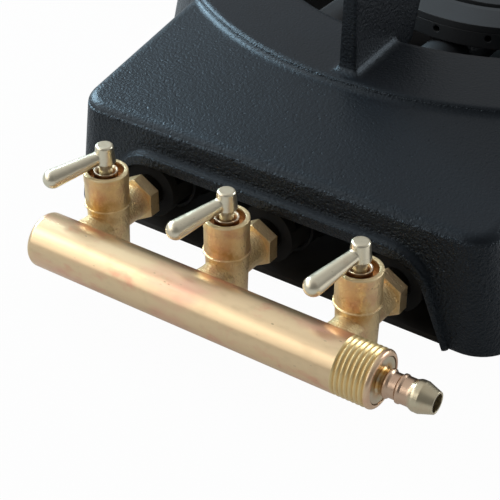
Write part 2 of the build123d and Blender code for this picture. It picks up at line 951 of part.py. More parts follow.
# Valve pieces are made on the centre valve, with the gas axis along Y and the plug's axis upright
rim_z = gas_z + rim_height
cup_foot = rim_z - cup_height
seat_z = gas_z + seat_height
recess_radius = collar_radius - rim_wall
flange_z = seat_z + plug_lift
spring_foot = flange_z + plug_flange + spring_gap + spring_wire / 2
snap_z = spring_foot + spring_turns * spring_pitch + spring_wire / 2 + spring_gap
stub_end = hex_start + hex_thickness + outlet_collar_length + stub_length
taper = (plug_top_radius - plug_foot_radius) / (seat_height + plug_depth)


def seat_profile(gap, low, high):
    foot_radius = plug_foot_radius + (low - gas_z + plug_depth) * taper - gap
    top_radius = plug_foot_radius + (high - gas_z + plug_depth) * taper - gap
    with BuildSketch(Plane.XZ) as profile:
        with BuildLine():
            Polyline((0, low), (foot_radius, low), (top_radius, high), (0, high), close=True)
        make_face()
    return profile.sketch


with BuildPart() as valve_body:
    # shank and cup
    with BuildSketch(Plane.XZ):
        with BuildLine():
            Polyline(
                (0, gas_z - shank_depth),
                (shank_foot_radius, gas_z - shank_depth),
                (shank_top_radius, cup_foot),
                (ridge_radius, cup_foot + ridge_height / 2),
                (ridge_radius, cup_foot + ridge_height),
                (cup_radius, cup_foot + 1.5 * ridge_height),
                (cup_radius, rim_z - collar_height - (collar_radius - cup_radius)),
                (collar_radius, rim_z - collar_height),
                (collar_radius, rim_z),
                (0, rim_z),
                close=True,
            )
        make_face()
    revolve(axis=Axis.Z)
    fillet(valve_body.edges().filter_by(GeomType.CIRCLE).sort_by(Axis.Z)[0], shank_foot_round)
    fillet(valve_body.edges().filter_by(GeomType.CIRCLE).sort_by(Axis.Z)[-1], rim_round)
    # inlet, saddled on the pipe
    with BuildSketch(along_y(0, -inlet_end, gas_z)):
        Ellipse(inlet_flare_width, inlet_flare_height)
    with BuildSketch(along_y(0, -inlet_waist, gas_z)):
        Circle(inlet_neck_radius + (inlet_flare_height - inlet_neck_radius) / 3)
    with BuildSketch(along_y(0, -inlet_start, gas_z)):
        Circle(inlet_neck_radius)
    loft()
    with Locations(along_y(0, -inlet_start, gas_z)):
        Cylinder(inlet_neck_radius, inlet_start, align=(Align.CENTER, Align.CENTER, Align.MIN))
    with Locations((0, -valve_offset, gas_z)):
        Cylinder(
            pipe_radius + press_gap,
            4 * inlet_flare_width,
            rotation=(0, 90, 0),
            mode=Mode.SUBTRACT,
        )
    spigot_y = -valve_offset + pipe_bore_radius
    with Locations(along_y(0, spigot_y, gas_z)):
        Cylinder(
            spigot_radius,
            -spigot_y - inlet_start,
            align=(Align.CENTER, Align.CENTER, Align.MIN),
        )
    # outlet neck, hex flange, collar and threaded stub
    with Locations(along_y(0, 0, outlet_z)):
        Cone(
            outlet_neck_radius,
            outlet_flare_radius,
            hex_start + 1,
            align=(Align.CENTER, Align.CENTER, Align.MIN),
        )
    with BuildPart(mode=Mode.PRIVATE) as flange:
        with BuildSketch(along_y(0, hex_start, outlet_z)):
            RegularPolygon(hex_flats / 2, 6, major_radius=False, rotation=30)
        extrude(amount=hex_thickness)
        with Locations(along_y(0, hex_start, outlet_z)):
            hex_corner = hex_flats / sqrt(3)
            Cone(
                hex_corner - hex_bevel,
                hex_corner - hex_bevel + 2 * hex_thickness,
                hex_thickness,
                align=(Align.CENTER, Align.CENTER, Align.MIN),
                mode=Mode.INTERSECT,
            )
    add(flange.part)
    with Locations(along_y(0, hex_start, outlet_z)):
        Cylinder(
            outlet_collar_radius,
            hex_thickness + outlet_collar_length,
            align=(Align.CENTER, Align.CENTER, Align.MIN),
        )
        Cylinder(
            stub_radius,
            stub_end - hex_start,
            align=(Align.CENTER, Align.CENTER, Align.MIN),
        )
    # cup recess, groove for the retaining ring, tapered seat and gas way
    recess = ring_profile(0, recess_radius, seat_z, rim_z + 1)
    revolve(recess, axis=Axis.Z, mode=Mode.SUBTRACT)
    groove = ring_profile(
        0,
        recess_radius + snap_ring_depth,
        snap_z - snap_ring_fit,
        snap_z + snap_ring_height + snap_ring_fit,
    )
    revolve(groove, axis=Axis.Z, mode=Mode.SUBTRACT)
    revolve(seat_profile(0, gas_z - plug_depth - plug_lift, seat_z), axis=Axis.Z, mode=Mode.SUBTRACT)
    with Locations(along_y(0, spigot_y, gas_z)):
        Cylinder(
            gas_bore_radius,
            -spigot_y,
            align=(Align.CENTER, Align.CENTER, Align.MIN),
            mode=Mode.SUBTRACT,
        )
    with Locations(along_y(0, 0, outlet_z)):
        Cylinder(
            gas_bore_radius,
            stub_end,
            align=(Align.CENTER, Align.CENTER, Align.MIN),
            mode=Mode.SUBTRACT,
        )
    with Locations(along_y(0, stub_end - jet_shank, outlet_z)):
        Cylinder(
            jet_nose_radius,
            jet_shank,
            align=(Align.CENTER, Align.CENTER, Align.MIN),
            mode=Mode.SUBTRACT,
        )

# Plug with a cross hole, a flange for the spring and a round head with a socket for the lever
head_z = gas_z + head_top
socket_z = flange_z + plug_flange + stem_foot_gap
with BuildPart() as plug:
    revolve(seat_profile(plug_fit, gas_z - plug_depth, flange_z), axis=Axis.Z)
    revolve(ring_profile(0, plug_flange_radius, flange_z, flange_z + plug_flange), axis=Axis.Z)
    revolve(ring_profile(0, head_radius, flange_z, head_z), axis=Axis.Z)
    with BuildSketch(Plane.XZ):
        with BuildLine():
            Polyline(
                (0, socket_z),
                (stem_radius + stem_fit, socket_z),
                (stem_radius + stem_fit, head_z - head_sink),
                (head_radius - head_edge, head_z),
                (0, head_z),
                close=True,
            )
        make_face()
    revolve(axis=Axis.Z, mode=Mode.SUBTRACT)
    with Locations((0, 0, (gas_z + outlet_z) / 2)):
        Cylinder(gas_bore_radius, 4 * plug_top_radius, rotation=(0, 90, 0), mode=Mode.SUBTRACT)

# Spring: one wire wound on a helix of half-turn arcs
half_turns = 2 * spring_turns
spring_points = []
for step in range(8 * half_turns + 1):
    share = step / 8
    angle = pi * share
    spring_points.append(
        Vector(
            spring_radius * cos(angle),
            spring_radius * sin(angle),
            spring_foot + spring_pitch * share / 2,
        )
    )
with BuildPart() as spring:
    with BuildLine() as spring_line:
        for start in range(0, 8 * half_turns, 4):
            ThreePointArc(spring_points[start], spring_points[start + 2], spring_points[start + 4])
    with BuildSketch(Plane(origin=spring_line.line @ 0, z_dir=spring_line.line % 0)):
        Circle(spring_wire / 2)
    sweep(path=spring_line.line)
turn_steps = 16
spring_self_gap = min(
    (spring_points[late] - spring_points[early]).length
    for early in range(len(spring_points))
    for late in range(early + turn_steps // 2 + 4, len(spring_points))
) - spring_wire
print("least gap of the spring to itself", round(spring_self_gap, 2))

with BuildPart() as snap_ring:
    snap_outer = recess_radius + snap_ring_depth - snap_ring_fit
    revolve(
        ring_profile(snap_ring_inner_radius, snap_outer, snap_z, snap_z + snap_ring_height),
        axis=Axis.Z,
    )

# Lever: a stem, a post with a rounded top and an arm that swells to a round end, pointing to -Y
with BuildPart() as lever:
    with BuildSketch(Plane.XZ):
        with BuildLine():
            Polyline(
                (0, socket_z + stem_foot_gap),
                (stem_radius, socket_z + stem_foot_gap),
                (stem_radius, gas_z + post_foot - stem_bevel),
                (post_foot_radius, gas_z + post_foot + stem_bevel / 2),
                (post_top_radius, gas_z + post_top),
                (0, gas_z + post_top),
                close=True,
            )
        make_face()
    revolve(axis=Axis.Z)
    fillet(lever.edges().filter_by(GeomType.CIRCLE).sort_by(Axis.Z)[-1], post_round)
    arm_length = hypot(arm_run, arm_drop)
    arm_plane = Plane(
        origin=(0, 0, gas_z + arm_height),
        x_dir=(1, 0, 0),
        z_dir=(0, -arm_run, -arm_drop),
    )
    with Locations(arm_plane):
        Cone(arm_root_radius, arm_tip_radius, arm_length, align=(Align.CENTER, Align.CENTER, Align.MIN))
    with Locations((0, -arm_run, gas_z + arm_height - arm_drop)):
        Sphere(arm_tip_radius)
    fillet(lever.edges().filter_by(GeomType.BSPLINE), arm_blend)

# Jet in the end of the valve's outlet
with BuildPart() as jet:
    with Locations(along_y(0, stub_end - jet_shank, outlet_z)):
        Cylinder(jet_nose_radius - jet_fit, jet_shank, align=(Align.CENTER, Align.CENTER, Align.MIN))
    with BuildSketch(along_y(0, stub_end, outlet_z)):
        RegularPolygon(jet_flats / 2, 6, major_radius=False)
    extrude(amount=jet_head)
    with Locations(along_y(0, stub_end + jet_head, outlet_z)):
        Cone(jet_nose_radius, jet_tip_radius, jet_nose, align=(Align.CENTER, Align.CENTER, Align.MIN))
    with Locations(along_y(0, stub_end - jet_shank, outlet_z)):
        Cylinder(
            jet_bore_radius,
            jet_shank + jet_head + jet_nose,
            align=(Align.CENTER, Align.CENTER, Align.MIN),
            mode=Mode.SUBTRACT,
        )
        Cylinder(
            jet_tip_radius,
            jet_shank + jet_head,
            align=(Align.CENTER, Align.CENTER, Align.MIN),
            mode=Mode.SUBTRACT,
        )

# Lock nut behind the yoke plate
with BuildPart() as lock_nut:
    with BuildSketch(along_y(0, hex_start + hex_thickness + outlet_collar_length + yoke_plate_thickness, outlet_z)):
        RegularPolygon(nut_flats / 2, 6, major_radius=False, rotation=30)
        Circle(stub_radius + nut_fit, mode=Mode.SUBTRACT)
    extrude(amount=nut_thickness)

# The three sets of valve pieces
for side, x in sides.items():
    for piece, name in (
        (valve_body, "valve_body"),
        (spring, "valve_spring"),
        (snap_ring, "retaining_ring"),
        (jet, "gas_jet"),
        (lock_nut, "lock_nut"),
    ):
        with BuildPart() as placed:
            with Locations((x, valve_y, 0)):
                add(piece.part)
        save(placed, f"{name}_{side}")
    for piece, name in ((plug, "valve_plug"), (lever, "valve_lever")):
        with BuildPart() as placed:
            with Locations(Location((x, valve_y, 0), (0, 0, -lever_turn[side]))):
                add(piece.part)
        save(placed, f"{name}_{side}")
    copy_to(shutter, f"air_shutter_{side}", x)

# Burner rest: a cross bar with a tongue under the rings
with BuildPart() as burner_rest:
    with BuildSketch(Plane.XY.offset(burner_floor - plate)):
        with Locations((0, rest_y)):
            Rectangle(2 * (rest_boss_x + rest_end_margin), rest_width)
        with Locations((0, tongue_start)):
            Rectangle(rest_width, rest_setback - tongue_start + 1, align=(Align.CENTER, Align.MIN))
        with Locations((-rest_boss_x, rest_y), (rest_boss_x, rest_y)):
            Circle(rest_bolt / 2 + bolt_fit, mode=Mode.SUBTRACT)
        with Locations(*outer_bolts, *middle_bolts, *centre_bolts):
            Circle(burner_bolt / 2 + bolt_fit, mode=Mode.SUBTRACT)
    extrude(amount=plate)
save(burner_rest, "burner_rest")


# Fasteners: hex bolts pointing up, made as groups of separate solids
def bolt_group(places, size, seat, reach):
    with BuildPart() as bolts:
        for place in places:
            with BuildSketch(Plane(origin=(place[0], place[1], seat - 0.7 * size))):
                RegularPolygon(0.8 * size, 6, major_radius=False, rotation=30)
            extrude(amount=0.7 * size)
            with Locations((place[0], place[1], seat)):
                Cylinder(size / 2, reach, align=(Align.CENTER, Align.CENTER, Align.MIN))
    return bolts


rest_seat = burner_floor - plate
rest_bolts = bolt_group(
    [(-rest_boss_x, rest_y), (rest_boss_x, rest_y)],
    rest_bolt,
    rest_seat,
    ring_under - rest_seat - bolt_end_gap,
)
save(rest_bolts, "rest_bolts")
burner_bolts = bolt_group(
    outer_bolts + middle_bolts + centre_bolts,
    burner_bolt,
    rest_seat,
    plate + burner_base_height - cap_rib - cap_fit - 2 * bolt_end_gap,
)
save(burner_bolts, "burner_bolts")

# Hanger bar over the mixing tubes, with a strap under each tube
clip_bolt_places = [(x + hand * clip_ear, hanger_y) for x in sides.values() for hand in (-1, 1)]
with BuildPart() as hanger_bar:
    with BuildSketch(Plane.XY.offset(hanger_z)):
        with Locations((0, hanger_y)):
            Rectangle(2 * hanger_half_length, hanger_width)
        with Locations((-hanger_boss_x, hanger_y), (hanger_boss_x, hanger_y)):
            Circle(hanger_bolt / 2 + bolt_fit, mode=Mode.SUBTRACT)
        with Locations(*clip_bolt_places):
            Circle(clip_bolt / 2 + bolt_fit, mode=Mode.SUBTRACT)
    extrude(amount=plate)
save(hanger_bar, "tube_hanger_bar")
hanger_bolts = bolt_group(
    [(-hanger_boss_x, hanger_y), (hanger_boss_x, hanger_y)],
    hanger_bolt,
    hanger_z,
    hanger_roof - 1 - bolt_end_gap - hanger_z,
)
save(hanger_bolts, "hanger_bolts")

strap_inner = tube_radius + clip_gap
strap_outer = strap_inner + clip_thickness
with BuildPart() as strap:
    with BuildSketch(Plane.XZ.offset(-hanger_y - clip_width / 2)):
        with Locations((0, outlet_z)):
            Circle(strap_outer)
            Rectangle(2 * strap_outer, hanger_z - outlet_z, align=(Align.CENTER, Align.MIN))
        with Locations((0, hanger_z)):
            Rectangle(
                2 * (clip_ear + clip_ear_margin),
                clip_thickness,
                align=(Align.CENTER, Align.MAX),
            )
        with Locations((0, outlet_z)):
            Circle(strap_inner, mode=Mode.SUBTRACT)
            Rectangle(
                2 * strap_inner,
                2 * strap_outer,
                align=(Align.CENTER, Align.MIN),
                mode=Mode.SUBTRACT,
            )
    extrude(amount=clip_width)
    with Locations((-clip_ear, hanger_y, hanger_z), (clip_ear, hanger_y, hanger_z)):
        Cylinder(clip_bolt / 2 + bolt_fit, 4 * clip_thickness, mode=Mode.SUBTRACT)
for side, x in sides.items():
    copy_to(strap, f"tube_clip_{side}", x)

clip_bolts = bolt_group(
    clip_bolt_places,
    clip_bolt,
    hanger_z - clip_thickness,
    clip_thickness + plate + clip_bolt + bolt_end_gap,
)
save(clip_bolts, "clip_bolts")
with BuildPart() as clip_nuts:
    with BuildSketch(Plane.XY.offset(hanger_z + plate)):
        with Locations(*clip_bolt_places):
            RegularPolygon(0.85 * clip_bolt, 6, major_radius=False, rotation=30)
            Circle(clip_bolt / 2 + bolt_fit, mode=Mode.SUBTRACT)
    extrude(amount=0.8 * clip_bolt)
save(clip_nuts, "clip_nuts")

# Base plate: a disc under the burners, widened into the front leg, with a tongue that fills the arch's foot
tongue_half_width = arch_half_width - base_top * tan(radians(arch_side_lean)) - base_gap
tongue_front = leg_reach - base_tongue_setback
base_head_height = base_screw_head_radius - base_screw / 2
with BuildPart() as base_plate:
    with BuildSketch(Plane.XY.offset(base_lift)):
        Circle(base_radius)
        add(leg_outline(base_top, wall + base_gap, 0, 0))
        with Locations((0, -tongue_front / 2)):
            Rectangle(2 * tongue_half_width, tongue_front)
        with Locations(*base_screw_places):
            Circle(base_screw / 2 + bolt_fit, mode=Mode.SUBTRACT)
    extrude(amount=base_thickness)
    with Locations(*[(x, y, base_lift) for x, y in base_screw_places]):
        Cone(
            base_screw_head_radius + bolt_fit,
            base_screw / 2 + bolt_fit,
            base_head_height,
            align=(Align.CENTER, Align.CENTER, Align.MIN),
            mode=Mode.SUBTRACT,
        )
save(base_plate, "base_plate")

# Countersunk screws with a hex socket
with BuildPart() as base_screws:
    with Locations(*[(x, y, base_lift) for x, y in base_screw_places]):
        Cone(
            base_screw_head_radius,
            base_screw / 2,
            base_head_height,
            align=(Align.CENTER, Align.CENTER, Align.MIN),
        )
        Cylinder(
            base_screw / 2,
            base_thickness + base_screw_reach,
            align=(Align.CENTER, Align.CENTER, Align.MIN),
        )
    with BuildSketch(Plane.XY.offset(base_lift)):
        with Locations(*base_screw_places):
            RegularPolygon(base_screw_socket / 2, 6, major_radius=False)
    extrude(amount=base_head_height, mode=Mode.SUBTRACT)
save(base_screws, "base_screws")
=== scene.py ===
from math import radians
import bmesh
import bpy
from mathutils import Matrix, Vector

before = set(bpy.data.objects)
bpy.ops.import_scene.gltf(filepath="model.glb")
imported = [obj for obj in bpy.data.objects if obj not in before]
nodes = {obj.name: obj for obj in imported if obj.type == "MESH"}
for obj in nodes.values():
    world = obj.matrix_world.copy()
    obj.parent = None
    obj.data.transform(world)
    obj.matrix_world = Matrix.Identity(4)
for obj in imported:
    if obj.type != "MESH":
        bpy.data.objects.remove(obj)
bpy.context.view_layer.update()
scene = bpy.context.scene
print("frame loaded,", len(nodes), "nodes")

# camera at the photograph's angle
viewSetup = {
    "eye": (0.2474, -0.5620, 0.3252),
    "tilt": 54.94,
    "turn": 34.37,
    "lens": 105.84,
    "sensor": 36,
}
cameraData = bpy.data.cameras.new("photoCamera")
cameraData.lens = viewSetup["lens"]
cameraData.sensor_width = viewSetup["sensor"]
photoCamera = bpy.data.objects.new("photoCamera", cameraData)
photoCamera.location = viewSetup["eye"]
photoCamera.rotation_euler = (radians(viewSetup["tilt"]), 0, radians(viewSetup["turn"]))
scene.collection.objects.link(photoCamera)
scene.camera = photoCamera
scene.view_settings.view_transform = "Standard"
print("camera placed")


# a socket is linked, anything else is set on the input
def fillSockets(tree, node, sockets):
    for name, value in sockets.items():
        if isinstance(value, bpy.types.NodeSocket):
            tree.links.new(value, node.inputs[name])
        else:
            node.inputs[name].default_value = value


def putNode(tree, kind, sockets=None, **settings):
    node = tree.nodes.new(kind)
    for name, value in settings.items():
        setattr(node, name, value)
    fillSockets(tree, node, sockets or {})
    return node


def calc(tree, operation, first, second=0.0, third=0.0):
    sockets = {0: first, 1: second, 2: third}
    return putNode(tree, "ShaderNodeMath", sockets, operation=operation).outputs[0]


def times(tree, first, *others):
    for other in others:
        first = calc(tree, "MULTIPLY", first, other)
    return first


# start where the mask is 0, start plus rise where it is 1
def ramp(tree, mask, start, rise):
    return calc(tree, "MULTIPLY_ADD", mask, rise, start)


def fade(tree, value, low, high):
    node = putNode(
        tree,
        "ShaderNodeMapRange",
        {"Value": value, "From Min": low, "From Max": high},
        interpolation_type="SMOOTHSTEP",
    )
    return node.outputs["Result"]


def blend(tree, amount, first, second):
    sockets = {0: amount, 6: first, 7: second}
    return putNode(tree, "ShaderNodeMix", sockets, data_type="RGBA").outputs[2]


def noise(tree, place, scale, detail=3.0, roughness=0.55):
    sockets = {"Vector": place, "Scale": scale, "Detail": detail, "Roughness": roughness}
    return putNode(tree, "ShaderNodeTexNoise", sockets).outputs["Fac"]


def cellDistance(tree, place, scale):
    cells = putNode(tree, "ShaderNodeTexVoronoi", {"Vector": place, "Scale": scale})
    return cells.outputs["Distance"]


def stretched(tree, place, scale):
    return putNode(tree, "ShaderNodeMapping", {"Vector": place, "Scale": scale}).outputs["Vector"]


def split(tree, vector):
    return putNode(tree, "ShaderNodeSeparateXYZ", {0: vector}).outputs


def reach(tree, first, second):
    squares = calc(tree, "MULTIPLY_ADD", first, first, times(tree, second, second))
    return calc(tree, "SQRT", squares)


def startGroup(name, inputs, outputs):
    tree = bpy.data.node_groups.new(name, "ShaderNodeTree")
    for label, kind, value in inputs:
        socket = tree.interface.new_socket(label, in_out="INPUT", socket_type=kind)
        if value is not None:
            socket.default_value = value
    for label, kind in outputs:
        tree.interface.new_socket(label, in_out="OUTPUT", socket_type=kind)
    entry = tree.nodes.new("NodeGroupInput")
    leave = tree.nodes.new("NodeGroupOutput")
    return tree, entry.outputs, leave


def useGroup(tree, group, sockets):
    return putNode(tree, "ShaderNodeGroup", sockets, node_tree=group).outputs


floatKind, colourKind, vectorKind = "NodeSocketFloat", "NodeSocketColor", "NodeSocketVector"

# sand-cast skin: grains, soft swells and small pits
skinForm = {
    "pitScale": 0.35,
    "pitRange": (0.22, 0.05),
    "swellShare": 0.5,
    "pitDepth": -0.35,
    "cloudScale": 0.2,
}


def makeSandSkin():
    tree, given, leave = startGroup(
        "sandSkin",
        [("Vector", vectorKind, None), ("Grain", floatKind, 900.0), ("Swell", floatKind, 120.0)],
        [("Height", floatKind), ("Pits", floatKind), ("Cloud", floatKind)],
    )
    place = given["Vector"]
    grains = noise(tree, place, given["Grain"], 2.0, 0.6)
    swells = noise(tree, place, given["Swell"], 2.0)
    cells = cellDistance(tree, place, times(tree, given["Grain"], skinForm["pitScale"]))
    pits = fade(tree, cells, *skinForm["pitRange"])
    mixed = calc(tree, "MULTIPLY_ADD", swells, skinForm["swellShare"], grains)
    height = calc(tree, "MULTIPLY_ADD", pits, skinForm["pitDepth"], mixed)
    cloud = noise(tree, place, times(tree, given["Swell"], skinForm["cloudScale"]))
    fillSockets(tree, leave, {"Height": height, "Pits": pits, "Cloud": cloud})
    return tree


# brass tone: gold with copper-red clouds and fine dark specks
toneForm = {
    "copperRange": (0.48, 0.72),
    "dotScale": 420.0,
    "dotRange": (0.16, 0.05),
    "chosenScale": 160.0,
    "chosenRange": (0.58, 0.66),
    "fineScale": 300.0,
    "fineRange": (0.5, 0.8),
    "fineShare": 0.25,
    "fineTone": (0.55, 0.4, 0.22, 1),
    "speckTone": (0.16, 0.09, 0.05, 1),
}


def makeBrassTone():
    tree, given, leave = startGroup(
        "brassTone",
        [
            ("Vector", vectorKind, None),
            ("Gold", colourKind, (0.9, 0.7, 0.42, 1)),
            ("Copper", colourKind, (0.82, 0.5, 0.34, 1)),
            ("Copper Share", floatKind, 0.4),
            ("Cloud Size", floatKind, 45.0),
            ("Specks", floatKind, 0.5),
        ],
        [("Color", colourKind), ("Specks", floatKind), ("Cloud", floatKind)],
    )
    place = given["Vector"]
    clouds = noise(tree, place, given["Cloud Size"], 3.0, 0.6)
    copper = times(tree, fade(tree, clouds, *toneForm["copperRange"]), given["Copper Share"])
    dots = fade(tree, cellDistance(tree, place, toneForm["dotScale"]), *toneForm["dotRange"])
    chosen = fade(tree, noise(tree, place, toneForm["chosenScale"], 1.0), *toneForm["chosenRange"])
    specks = times(tree, dots, chosen, given["Specks"])
    fine = fade(tree, noise(tree, place, toneForm["fineScale"], 2.0), *toneForm["fineRange"])
    tone = blend(tree, copper, given["Gold"], given["Copper"])
    tone = blend(tree, times(tree, fine, toneForm["fineShare"]), tone, toneForm["fineTone"])
    tone = blend(tree, specks, tone, toneForm["speckTone"])
    fillSockets(tree, leave, {"Color": tone, "Specks": specks, "Cloud": clouds})
    return tree


# place on a valve: distance from the plug's axis, distance towards the outlet, and height
def makeValvePlace():
    tree, given, leave = startGroup(
        "valvePlace",
        [("Vector", vectorKind, None), ("Pitch", floatKind, 0.054), ("Axis Y", floatKind, -0.2147)],
        [("Radius", floatKind), ("Outlet", floatKind), ("Height", floatKind)],
    )
    parts = split(tree, given["Vector"])
    half = times(tree, given["Pitch"], 0.5)
    across = calc(tree, "WRAP", parts["X"], half, times(tree, half, -1.0))
    along = calc(tree, "SUBTRACT", parts["Y"], given["Axis Y"])
    radius = reach(tree, across, along)
    fillSockets(tree, leave, {"Radius": radius, "Outlet": along, "Height": parts["Z"]})
    return tree


sandSkin = makeSandSkin()
brassTone = makeBrassTone()
valvePlace = makeValvePlace()
print("shared node groups built")


def startMaterial(name):
    material = bpy.data.materials.new(name)
    material.use_nodes = True
    tree = material.node_tree
    tree.nodes.clear()
    surface = putNode(tree, "ShaderNodeBsdfPrincipled")
    putNode(tree, "ShaderNodeOutputMaterial", {"Surface": surface.outputs["BSDF"]})
    place = putNode(tree, "ShaderNodeTexCoord").outputs["Object"]
    return material, tree, surface, place


# bump of a look's own strength and depth, with the edges softened
def softBump(tree, height, look):
    soft = putNode(tree, "ShaderNodeBevel", {"Radius": look["edgeSoft"]}, samples=4)
    sockets = {
        "Height": height,
        "Strength": look["bump"],
        "Distance": look["depth"],
        "Normal": soft.outputs["Normal"],
    }
    return putNode(tree, "ShaderNodeBump", sockets).outputs["Normal"]


def brassClouds(tree, place, look, gold, copper):
    sockets = {
        "Vector": place,
        "Gold": look[gold],
        "Copper": look[copper],
        "Copper Share": look["copperShare"],
        "Cloud Size": look["cloudSize"],
        "Specks": look["specks"],
    }
    return useGroup(tree, brassTone, sockets)


def castSkin(tree, place, look):
    sockets = {"Vector": place, "Grain": look["grain"], "Swell": look["swell"]}
    return useGroup(tree, sandSkin, sockets)


def dress(names, material):
    for name in names:
        mesh = nodes[name].data
        mesh.materials.clear()
        mesh.materials.append(material)


valveSides = ("left", "centre", "right")


def onSides(*stems):
    return [stem + "_" + side for stem in stems for side in valveSides]


# stove casting: blue-black satin coat over sand-cast iron
ironLook = {
    "deep": (0.0034, 0.0036, 0.0047, 1),
    "pale": (0.0074, 0.0087, 0.0116, 1),
    "pit": (0.002, 0.002, 0.0025, 1),
    "pitShare": 0.6,
    "gloss": (0.70, 0.86, 1.0, 1),
    "specular": 0.37,
    "rough": (0.30, 0.12),
    "grain": 900.0,
    "swell": 110.0,
    "bump": 0.9,
    "depth": 0.0009,
    "edgeSoft": 0.003,
    "wallGrain": 1.2,
    "finGrain": 0.5,
    "roofGrain": 0.22,
    "ringGrain": 0.2,
    "ringRange": (0.134, 0.146),
    "uprightRange": (0.5, 0.2),
}


def makeIronCoat():
    look = ironLook
    material, tree, surface, place = startMaterial("ironCoat")
    skin = castSkin(tree, place, look)
    tone = blend(tree, skin["Cloud"], look["deep"], look["pale"])
    tone = blend(tree, times(tree, skin["Pits"], look["pitShare"]), tone, look["pit"])
    # coarser on the walls, rubbed smoother on the ring and the fins
    facing = putNode(tree, "ShaderNodeTexCoord").outputs["Normal"]
    upright = fade(tree, calc(tree, "ABSOLUTE", split(tree, facing)["Z"]), *look["uprightRange"])
    parts = split(tree, place)
    outside = fade(tree, reach(tree, parts["X"], parts["Y"]), *look["ringRange"])
    onTop = ramp(tree, outside, look["ringGrain"], look["roofGrain"] - look["ringGrain"])
    onWall = ramp(tree, outside, look["finGrain"], look["wallGrain"] - look["finGrain"])
    topPart = times(tree, calc(tree, "SUBTRACT", 1.0, upright), onTop)
    wallPart = times(tree, upright, onWall)
    height = times(tree, skin["Height"], calc(tree, "ADD", wallPart, topPart))
    sockets = {
        "Base Color": tone,
        "Roughness": ramp(tree, skin["Cloud"], *look["rough"]),
        "Specular IOR Level": look["specular"],
        "Specular Tint": look["gloss"],
        "Normal": softBump(tree, height, look),
    }
    fillSockets(tree, surface, sockets)
    return material


# burners: plainer iron, machined smoother, the mixing tubes with painted shade: flat dark grey
# beyond the burner and nearly black at their front ends under the leg
burnerLook = {
    "deep": (0.014, 0.0155, 0.017, 1),
    "pale": (0.038, 0.041, 0.045, 1),
    # painted shade: the mixing tubes under the leg evened to dark grey, their front ends nearly
    # black
    "underShade": (0.026, 0.026, 0.026, 1),
    "underShadeRange": (-0.064, -0.074),
    "frontShade": (0.007, 0.007, 0.007, 1),
    "frontShadeRange": (-0.15, -0.165),
    "specular": 0.4,
    "rough": (0.4, 0.2),
    "underShadeRough": 0.4,
    "grain": 1100.0,
    "swell": 140.0,
    "bump": 0.3,
    "depth": 0.00015,
    "edgeSoft": 0.0006,
}


def makeBurnerIron():
    look = burnerLook
    material, tree, surface, place = startMaterial("burnerIron")
    skin = castSkin(tree, place, look)
    along = split(tree, place)["Y"]
    # painted shade on the mixing tubes under the leg, darkest at their front ends
    underShaded = fade(tree, along, *look["underShadeRange"])
    frontShaded = fade(tree, along, *look["frontShadeRange"])
    tone = blend(tree, skin["Cloud"], look["deep"], look["pale"])
    tone = blend(tree, underShaded, tone, look["underShade"])
    tone = blend(tree, frontShaded, tone, look["frontShade"])
    rough = ramp(tree, skin["Cloud"], *look["rough"])
    sockets = {
        "Base Color": tone,
        "Roughness": ramp(tree, underShaded, rough, look["underShadeRough"]),
        "Specular IOR Level": look["specular"],
        "Normal": softBump(tree, skin["Height"], look),
    }
    fillSockets(tree, surface, sockets)
    return material


# manifold pipe: drawn brass, lengthwise lines, heat tint beside the joints, bright thread with
# painted shade in its grooves
pipeAxis = {"Y": -0.237, "Z": 0.018}
pipeLook = {
    "gold": (0.88, 0.66, 0.40, 1),
    "copper": (0.85, 0.48, 0.33, 1),
    "copperShare": 1.0,
    "cloudSize": 60.0,
    "cloudStretch": (0.45, 1, 1),
    "specks": 0.55,
    "heat": (0.72, 0.26, 0.10, 1),
    "heatShare": 0.9,
    "heatShift": 0.006,
    "heatReach": (0.018, 0.004),
    "heatBehind": (0.001, 0.008),
    "heatCloud": 90.0,
    "heatRange": (0.35, 0.65),
    "blush": (0.82, 0.40, 0.26, 1),
    "blushShare": 0.7,
    "blushSize": 75.0,
    "blushStretch": (0.6, 1, 1),
    "blushRange": (0.54, 0.70),
    "thread": (0.95, 0.74, 0.38, 1),
    # painted shade in the thread's grooves
    "groove": (0.86, 0.61, 0.26, 1),
    "threadStart": 0.0627,
    "threadEnd": 0.0758,
    "threadFade": 0.0006,
    "grooveRange": (0.01045, 0.00985),
    "mouth": (0.88, 0.60, 0.42, 1),
    "mouthShare": 0.6,
    "pitch": 0.054,
    "lineStretch": (6, 900, 900),
    "lineHeight": 0.25,
    "rough": (0.24, 0.12),
    "speckRough": 0.3,
    "metal": (0.82, -0.2),
    "bump": 0.25,
    "depth": 0.0001,
    "edgeSoft": 0.00012,
}


def aroundPipe(tree, parts):
    fromY = calc(tree, "SUBTRACT", parts["Y"], pipeAxis["Y"])
    fromZ = calc(tree, "SUBTRACT", parts["Z"], pipeAxis["Z"])
    return fromY, reach(tree, fromY, fromZ)


